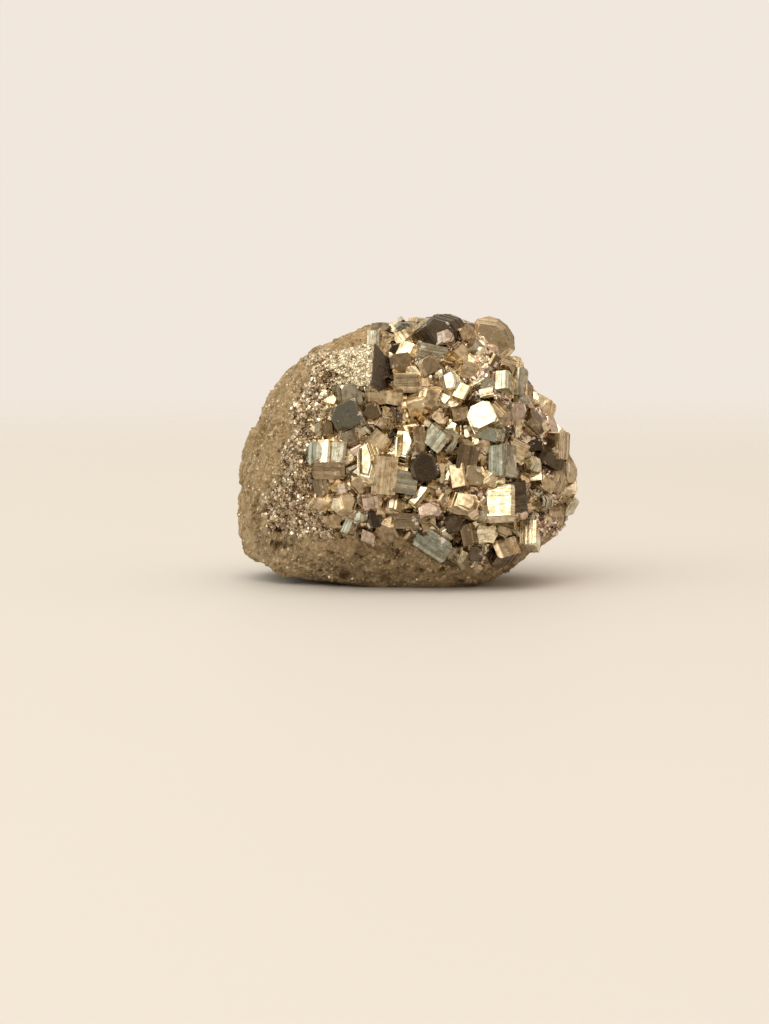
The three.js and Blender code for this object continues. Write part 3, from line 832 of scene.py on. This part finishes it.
def habit_planes(habit, chain, fate):
    """The planes of a crystal of unit half size whose main face looks along z: normals, distances."""
    families = zip(HABITS[habit], (cube_normals(), pyritohedron_normals(), octahedron_normals()))
    normals, distances = [], []
    for distance, family in families:
        if distance:
            normals += family
            distances += [distance * chain.drawn(1 - MALFORMED, 1 + MALFORMED) for _ in family]
    edge_family, nearest, farthest = EDGE_FACES[habit]
    normals = np.array(normals + edge_family)
    distances += [fate.uniform(nearest, farthest) for _ in edge_family]
    if habit == "pyritohedron":
        normals = normals @ FACE_UP.T
    return normals, np.array(distances)


def stretched(normals, distances, half_size):
    """The same planes once the crystal is stretched to its real half sizes, in mm."""
    slanted = normals / half_size
    lengths = np.linalg.norm(slanted, axis=1)
    return slanted / lengths[:, None], distances / lengths


LEAST_CROSSING = 1e-5  # three planes whose normals fill less than this don't meet in one corner
JUST_PAST = 1e-6  # how far a corner may lie past a plane and still count
SAME_CORNER = 1e-4  # corners nearer than this are one
ON_A_FACE = 2e-4  # corners nearer to a plane than this are on its face


def polyhedron(normals, distances):
    """The corners and outward faces of the solid that lies behind every plane."""
    triples = np.array(list(combinations(range(len(normals)), 3)))
    matrices = normals[triples]
    crossing = np.abs(np.linalg.det(matrices)) > LEAST_CROSSING
    meets = np.linalg.solve(matrices[crossing], distances[triples[crossing]][..., None])[..., 0]
    inside = (meets @ normals.T <= distances + JUST_PAST).all(axis=1)
    corners = []
    for corner in meets[inside]:
        if all(np.abs(corner - other).max() > SAME_CORNER for other in corners):
            corners.append(corner)
    corners = np.array(corners).reshape(-1, 3)
    faces = []
    for normal, distance in zip(normals, distances):
        on_face = np.flatnonzero(np.abs(corners @ normal - distance) < ON_A_FACE)
        if len(on_face) < 3:
            continue
        arms = corners[on_face] - corners[on_face].mean(axis=0)
        ahead = arms[0] / np.linalg.norm(arms[0])
        order = np.argsort(np.arctan2(arms @ np.cross(normal, ahead), arms @ ahead))
        faces.append(on_face[order])
    return corners, faces


SUNK = (-0.4, 0.3)  # how much deeper a crystal may sit than its neighbours, mm
LAYER_THICKNESS = (0.16, 0.62)  # mm
LAYER_STEP = 0.09  # how far a layer may fall short of the one next to it, mm
LAYER_LEAN = 0.08  # how far a layer's sides may lean along the pile
LAYER_BULGE = (0.0, 0.16)  # how far the sides lean by the ends of the pile, so that they bulge
# A layer's tone is partly tarnish that differs from band to band, partly painted light and shade of its
# growth step.
LAYER_TARNISH_AND_SHADE = (0.72, 1.12)  # how much darker or brighter a layer may be than its crystal
LAYER_OVERLAP = 0.02  # how far a layer reaches into the one above it, mm
RIM_TERRACE = 0.3  # the most that the last layers of a pile of rims draw in towards the face, mm
TERRACE_REACH = 1.3  # how far behind the face they start to draw in, mm
RIM_CORE = 0.45  # how much of a pile of rims is one plain block behind its layers
LEAST_LAYER = 0.02  # mm
SIDE_FACING = 0.93  # faces that look along the pile more squarely than this are its ends


def growth_layers(normals, distances, pile, fate):
    """The layers of one crystal: each a polyhedron between two levels of the pile."""
    axis = np.array(PILES[pile])
    corners, _ = polyhedron(normals, distances)
    levels = corners @ axis
    low, high = levels.min(), levels.max()
    along = normals @ axis
    is_side = np.abs(along) < SIDE_FACING
    layers = []
    level = low
    terrace = RIM_TERRACE * fate.uniform(0, 1) if pile == "rims" else 0
    bulge = fate.uniform(*LAYER_BULGE)
    if pile == "rims":
        level = low + RIM_CORE * (high - low)
        layers.append((low, level, np.zeros(len(normals)), np.zeros(len(normals))))
    while level < high - LEAST_LAYER:
        top = min(high, level + fate.uniform(*LAYER_THICKNESS))
        short = np.array([fate.uniform(0, LAYER_STEP) for _ in normals])
        lean = np.array([fate.uniform(-LAYER_LEAN, LAYER_LEAN) for _ in normals])
        if pile != "rims":
            lean = lean + bulge * ((level + top - low - high) / (high - low))
        nearness = max(0, 1 - (high - top) / TERRACE_REACH)
        short = short + terrace * nearness * np.array([fate.uniform(0, 1) for _ in normals])
        layers.append((level, top, short * is_side, lean * is_side))
        level = top
    made = []
    for bottom, top, short, lean in layers:
        middle = (bottom + top) / 2
        leant = normals + lean[:, None] * axis
        lengths = np.linalg.norm(leant, axis=1)
        layer_normals = np.concatenate([leant / lengths[:, None], [axis, -axis]])
        side_distances = (distances - short + lean * middle) / lengths
        layer_distances = np.append(side_distances, [top + LAYER_OVERLAP, -bottom])
        layer = polyhedron(layer_normals, layer_distances)
        if len(layer[1]) > 3:
            made.append(layer)
    return made


# How a crystal's own colour darkens where it has browned; the painted shade along its growth
# lines; and the colours of its pits and of the film that dulls it in places.
BROWNED = (0.68, 0.60, 0.50)
LINE_SHADE = (0.30, 0.25, 0.20)
PITS = (0.16, 0.11, 0.065)
FILM = (0.80, 0.68, 0.57)


def crystal_pyrite():
    """Bright brassy pyrite: a mirror broken by fine growth lines painted darker as their shade, with
    tarnish and small pits.
    """
    material, tree, place = new_material("crystal_pyrite")
    tint = named_value(tree, "tint", "Color")
    growth = named_value(tree, "growth", "Vector")
    across_the_pile = tree.vectors("MULTIPLY", growth, (5, 0.2, 0.2))
    lines = tree.noise(across_the_pile, 1, 4, 0.7)
    wavy = tree.noise(place, 1.1, 3)
    dust = tree.noise(place, 3.5, 5, 0.7)
    browner = tree.vectors("MULTIPLY", tint, BROWNED)
    line_shade = tree.vectors("MULTIPLY", tint, LINE_SHADE)
    tarnish = tree.mixed(wavy.rising(0.42, 0.66), tint, browner)
    # Painted shade along the growth lines.
    lined = tree.mixed(lines.rising(0.46, 0.36) * 0.75, tarnish, line_shade)
    pitted = tree.mixed(dust.rising(0.40, 0.30), lined, PITS)
    film = tree.noise(place, 0.6, 4, 0.6).rising(0.61, 0.67)
    filmed = tree.mixed(film * 0.8, pitted, FILM)
    relief = {"Height": lines + wavy * 0.5, "Strength": 0.35, "Distance": 0.1 * MM}
    end_in_surface(tree, {
        "Base Color": filmed,
        "Metallic": 1 - film * 0.5,
        "Roughness": 0.14 + wavy.rising(0.40, 0.7) * 0.16 + dust.rising(0.42, 0.30) * 0.3 + film * 0.25,
        "Normal": tree.node("ShaderNodeBump", None, relief),
    })
    return material


def axes_of(bearing, rise, roll):
    """The directions of a crystal's width, its height and its main face, one to a row."""
    out = looking_along(bearing, rise)
    sideways = looking_along(bearing + 90, 0)
    upwards = np.cross(out, sideways)
    turn = math.radians(roll)
    wide_way = sideways * math.cos(turn) + upwards * math.sin(turn)
    tall_way = upwards * math.cos(turn) - sideways * math.sin(turn)
    return np.array([wide_way, tall_way, out])


TINT_SPREAD = (0.88, 1.08)  # how much darker or brighter a crystal may be than its tarnish
GROWTH_STARTS = (0, 50)  # where in the pattern of growth lines a crystal may start, mm


def crust_of_crystals(crystals, planes, name, seed):
    """One joined mesh of the crystals, each in its growth layers and tinted by its tarnish."""
    fate = random.Random(seed)
    points, faces, growths, tints = [], [], [], []
    count = 0
    for crystal, (normals, distances) in zip(crystals, planes):
        face_at, bearing, rise, roll, size, _, pile, tarnish = crystal
        axes = axes_of(bearing, rise, roll)
        out = axes[2]
        tint = np.array(TARNISH[tarnish]) * fate.uniform(*TINT_SPREAD)
        face_at = face_at - out * fate.uniform(*SUNK)
        face_at[1] -= front_relief(face_at[None])[0]
        start = np.array([fate.uniform(*GROWTH_STARTS) for _ in range(3)])
        middle = face_at - out * size[2] / 2
        main = list(PILES).index(pile)
        for corners, layer_faces in growth_layers(*stretched(normals, distances, size / 2), pile, fate):
            # Each layer's tone: partly tarnish, partly painted light and shade of its step.
            shade = fate.uniform(*LAYER_TARNISH_AND_SHADE)
            points.append(corners @ axes + middle)
            faces += [face + count for face in layer_faces]
            growths.append(np.roll(corners, -main, axis=1) + start)
            tints.append(np.tile(tint * shade, (len(corners), 1)))
            count += len(corners)
    made = mesh_object(
        name, np.concatenate(points), faces, growth=np.concatenate(growths), tint=np.concatenate(tints)
    )
    made.data.materials.append(crystal_finish)
    return made


crystal_finish = crystal_pyrite()
chain = NumberChain(FIRST_SEED)
leading = leading_crystals()
lesser = lesser_crystals(leading, chain)
fate = random.Random(EDGE_SEED)
planes = [habit_planes(crystal[5], chain, fate) for crystal in leading + lesser]
leading_planes, lesser_planes = planes[: len(leading)], planes[len(leading) :]
# The first leading crystal is the step, which is massive pyrite and is made on its own below.
leading_crust = crust_of_crystals(leading[1:], leading_planes[1:], "leading_crystals", seed=11)
lesser_crust = crust_of_crystals(lesser, lesser_planes, "lesser_crystals", seed=12)
for crust in (leading_crust, lesser_crust):
    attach(crust, "root")
    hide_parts("pyrite_cluster")

# ==== the clean-broken step ======================================================================
# A block of massive pyrite that stands out of the upper left, broken so clean that its face
# glitters like crumpled foil. Its right side is a whole crystal face, painted nearly black as its shade.

STEP_CUTS = 72  # squares along each side
STEP_ROUND = 0.16  # how far its edges are worn round
STEP_WHOLE = (0.9, 1.0)  # how far to the right, from -1 to 1, its whole face starts and is all there


def step_base():
    """The block, its edges worn round and each face at its own distance, as a mesh of small squares."""
    face_at, bearing, rise, roll, size = leading[0][:5]
    corners, quads = ball_of_squares(STEP_CUTS)
    lengths = np.linalg.norm(corners, axis=1, keepdims=True)
    rounded = corners * (1 - STEP_ROUND * (lengths - 1) / lengths)
    for axis in range(3):
        ahead, behind = planes[0][1][2 * axis : 2 * axis + 2]
        rounded[:, axis] *= np.where(rounded[:, axis] > 0, ahead, behind)
    axes = axes_of(bearing, rise, roll)
    placed = (rounded * size / 2) @ axes + face_at - axes[2] * size[2] / 2
    # The whole face on the right stays flatter, and the massive pyrite's material paints it nearly black as
    # shade.
    whole = soft_step(corners[:, 0], *STEP_WHOLE)
    return mesh_object("step_base", placed, quads, whole=whole, clean=1 - whole)


broken_step = weathered(step_base(), "broken_step", {
    "Hollow Depth": 0.8,
    "Large Chips": 0.35,
    "Small Chips": 0.6,
    "Fine Chips": 0.8,
    "Grain Height": 0.6,
    "Pit Depth": 0.2,
    "Crust Depth": 0.0,
})
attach(broken_step, "root")
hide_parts("pyrite_cluster")

# ==== the small crystals and grains between them =================================================
# Cubes and pyritohedra of a millimetre or two fill what is left of the crust, and sparkling grains
# as fine as sugar line its left edge and lie in pinkish patches on the front.


SEED_HALF_SIZES = (0.4, 0.6)  # half sizes of a scattered crystal along its own axes, before scaling


def seed_shapes(count, tints, seed):
    """A few crystals of unit size, for scattering: made once and hidden from the finished scene."""
    fate = random.Random(seed)
    chain = NumberChain(seed)
    shapes = bpy.data.collections.new("seed_shapes")
    bpy.context.scene.collection.children.link(shapes)
    for number in range(count):
        habit = list(HABITS)[number % len(HABITS)]
        normals, distances = habit_planes(habit, chain, fate)
        half_size = np.array([fate.uniform(*SEED_HALF_SIZES) for _ in range(3)])
        corners, faces = polyhedron(*stretched(normals, distances, half_size))
        tint = np.tile(tints[number % len(tints)], (len(corners), 1))
        shape = mesh_object(f"seed_{number:02d}", corners, faces, growth=corners * 2, tint=tint)
        bpy.context.scene.collection.objects.unlink(shape)
        shapes.objects.link(shape)
    return shapes


LEAN = 0.6  # how far a scattered crystal may lean from square to the lump, radians
HALF_TURN = math.pi / 2


def scatter_tree(name, share_name, shapes, seed, sizes):
    """Scatters shapes over a surface where its named share is 1, each turned its own way."""
    tree, given = new_geometry_tree(name, sizes)
    share = tree.node("GeometryNodeInputNamedAttribute", {"data_type": "FLOAT"}, {"Name": share_name})
    scattered = tree.node("GeometryNodeDistributePointsOnFaces", {"distribute_method": "POISSON"}, {
        "Mesh": given["Geometry"],
        "Distance Min": given["Spacing"],
        "Density Max": given["Per Area"],
        "Density Factor": share,
        "Seed": seed,
    })
    lean = tree.node("FunctionNodeRandomValue", {"data_type": "FLOAT_VECTOR"}, {
        "Min": (-LEAN, -LEAN, -HALF_TURN),
        "Max": (LEAN, LEAN, HALF_TURN),
        "Seed": seed + 1,
    })
    turned = tree.node("FunctionNodeRotateRotation", {"rotation_space": "LOCAL"}, {
        "Rotation": scattered.beside("Rotation"),
        "Rotate By": lean,
    })
    size = tree.node("FunctionNodeRandomValue", {"data_type": "FLOAT"}, {
        "Min": given["Smallest"],
        "Max": given["Largest"],
        "Seed": seed + 2,
    }, output=1)
    sunk = tree.scaled(scattered.beside("Normal"), size * given["Sunk"] * -MM)
    lowered = tree.node("GeometryNodeSetPosition", None, {"Geometry": scattered, "Offset": sunk})
    all_shapes = tree.node("GeometryNodeCollectionInfo", None, {
        "Collection": shapes,
        "Separate Children": True,
        "Reset Children": True,
    })
    placed = tree.node("GeometryNodeInstanceOnPoints", None, {
        "Points": lowered,
        "Instance": all_shapes,
        "Pick Instance": True,
        "Rotation": turned,
        "Scale": size,
    })
    end_in_mesh(tree, placed, crystal_finish)
    return tree


def scattered_over_lump(name, share_name, tints, shape_count, seeds, sizes):
    """Scatters crystals of these tints over the lump as one piece. Its seeds are those of the shapes
    and of their places; its sizes are the tree's inputs."""
    shape_seed, place_seed = seeds
    shapes = seed_shapes(shape_count, tints, shape_seed)
    base = new_object("scatter_base", massive_lump.data)
    tree = scatter_tree(name, share_name, shapes, place_seed, sizes)
    made = made_by_tree(base, tree, sizes, name)
    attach(made, "root")
    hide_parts("pyrite_cluster")
    for shape in list(shapes.objects):
        bpy.data.objects.remove(shape)
    bpy.data.collections.remove(shapes)


SUGAR_TINTS = [
    (0.28, 0.21, 0.14),
    (0.52, 0.41, 0.27),
    (0.70, 0.58, 0.41),
    (0.60, 0.48, 0.33),
    (0.92, 0.80, 0.62),
]
ROSY_TINTS = [
    TARNISH["rosy"],
    (0.92, 0.80, 0.68),
    (0.58, 0.47, 0.40),
    (0.74, 0.60, 0.48),
    (0.32, 0.26, 0.24),
]
CRYSTAL_TINTS = [TARNISH[name] for name, in_20 in TARNISH_IN_20.items() for _ in range(in_20)]

scattered_over_lump(
    "small_crystals", "crust", CRYSTAL_TINTS, shape_count=20, seeds=(21, 31),
    sizes={"Spacing": 1.0 * MM, "Per Area": 2.0e6, "Smallest": 1.4, "Largest": 2.7, "Sunk": 0.40},
)
scattered_over_lump(
    "sugar_grains", "sugar", SUGAR_TINTS, shape_count=12, seeds=(22, 32),
    sizes={"Spacing": 0.28 * MM, "Per Area": 9.0e6, "Smallest": 0.25, "Largest": 0.65, "Sunk": 0.2},
)
scattered_over_lump(
    "rosy_grains", "rosy", ROSY_TINTS, shape_count=12, seeds=(23, 33),
    sizes={"Spacing": 0.35 * MM, "Per Area": 6.0e6, "Smallest": 0.4, "Largest": 0.85, "Sunk": -0.1},
)

# ==== the floor, the light and the camera ========================================================
# A plain pale floor that melts into a plain backdrop, under soft studio light: the key high on the
# left, a low fill further round to the left, a top light over the right, and the room itself.

FLOOR_HALF = 1.2  # m
FLOOR_FADES = (0.16, 0.7)  # where the floor starts and ends melting into the backdrop, m from the middle
FLOOR_COLOUR = (0.62, 0.585, 0.555, 1)
BACKDROP = (0.88, 0.80, 0.72)


def pale_floor():
    mesh = bpy.data.meshes.new("floor")
    corners = [(FLOOR_HALF * x, FLOOR_HALF * y, 0) for x, y in ((-1, -1), (1, -1), (1, 1), (-1, 1))]
    mesh.from_pydata(corners, [], [(0, 1, 2, 3)])
    floor = new_object("floor", mesh)
    material, tree, place = new_material("pale_floor")
    near, far = FLOOR_FADES
    away = tree.node("ShaderNodeVectorMath", {"operation": "LENGTH"}, {0: place}, output="Value")
    fade = away.rising(far / MM, near / MM)
    end_in_surface(tree, {"Base Color": FLOOR_COLOUR, "Roughness": 0.6, "Alpha": fade})
    mesh.materials.append(material)


def look_from(thing, bearing, rise, away, aim):
    """Puts a lamp or a camera at a bearing and rise from a point, looking at it, level side to side."""
    thing.location = aim + looking_along(bearing, rise) * away
    thing.rotation_euler = (math.radians(90 - rise), 0, math.radians(bearing))


def soft_box(name, bearing, rise, away, side, watts, colour):
    """A square soft box that looks at the middle of the lump from a bearing and a rise."""
    light = bpy.data.lights.new(name, "AREA")
    light.shape = "SQUARE"
    light.size = side
    light.energy = watts
    light.color = colour
    look_from(new_object(name, light), bearing, rise, away, HEART * MM)


WINDOW = (-38, 52)  # bearing and rise of the middle of the window, degrees


def room():
    """What the faces mirror: a dim room with a window high on the left, bright walls behind and to both
    sides, a bright ceiling and a few bright patches. The plain backdrop is what is seen past the stone."""
    world = bpy.data.worlds.new("room")
    world.use_nodes = True
    world.node_tree.nodes.clear()
    tree = Tree(world.node_tree)
    way = tree.node("ShaderNodeTexCoord", output="Generated")
    across, deep, up = (tree.separated(way, axis) for axis in "XYZ")
    left_half = across.rising(0.6, 0.0)
    left_wall = across.rising(-0.4, -1.0)
    right_wall = across.rising(0.2, 0.9)
    behind = deep.rising(0.1, 0.9)
    ceiling = up.rising(0.2, 0.9)
    patches = tree.noise(way, 2.3, 2).rising(0.54, 0.62)
    towards_window = {0: way, 1: looking_along(*WINDOW)}
    facing = tree.node("ShaderNodeVectorMath", {"operation": "DOT_PRODUCT"}, towards_window, "Value")
    window = facing.rising(0.60, 1.0)
    level = (
        0.08
        + 0.17 * left_half
        + 0.58 * right_wall
        + 0.55 * behind * left_half
        + 0.20 * left_wall
        + 0.52 * ceiling
        + 0.40 * patches
        + 0.90 * window
    )
    warm = tree.mixed(across.rising(0.3, -0.8), (1.0, 0.86, 0.70), (0.92, 0.95, 0.86))
    seen = tree.node("ShaderNodeLightPath", output="Is Camera Ray")
    shown = tree.mixed(seen, tree.scaled(warm, level), BACKDROP)
    glow = tree.node("ShaderNodeBackground", None, {"Color": shown})
    tree.node("ShaderNodeOutputWorld", None, {"Surface": glow})
    bpy.context.scene.world = world


CAMERA_LENS = 100  # mm
CAMERA_AIM = np.array([-3.7, 0, 11.3]) * MM
CAMERA_RISE = 5  # degrees
CAMERA_AWAY = 0.464  # m
CAMERA_SEES = 20  # how far, m


def camera():
    lens = bpy.data.cameras.new("camera")
    lens.lens = CAMERA_LENS
    lens.clip_end = CAMERA_SEES
    made = new_object("camera", lens)
    look_from(made, 0, CAMERA_RISE, CAMERA_AWAY, CAMERA_AIM)
    bpy.context.scene.camera = made


pale_floor()
soft_box("key", bearing=-40, rise=50, away=1.5, side=1.3, watts=6.5, colour=(1.0, 0.95, 0.88))
soft_box("fill", bearing=-80, rise=15, away=1.8, side=1.2, watts=2.8, colour=(0.98, 1.0, 0.95))
soft_box("top", bearing=40, rise=74, away=1.6, side=1.2, watts=5.4, colour=(1.0, 0.96, 0.92))
room()
camera()
bpy.context.scene.view_settings.view_transform = "Standard"
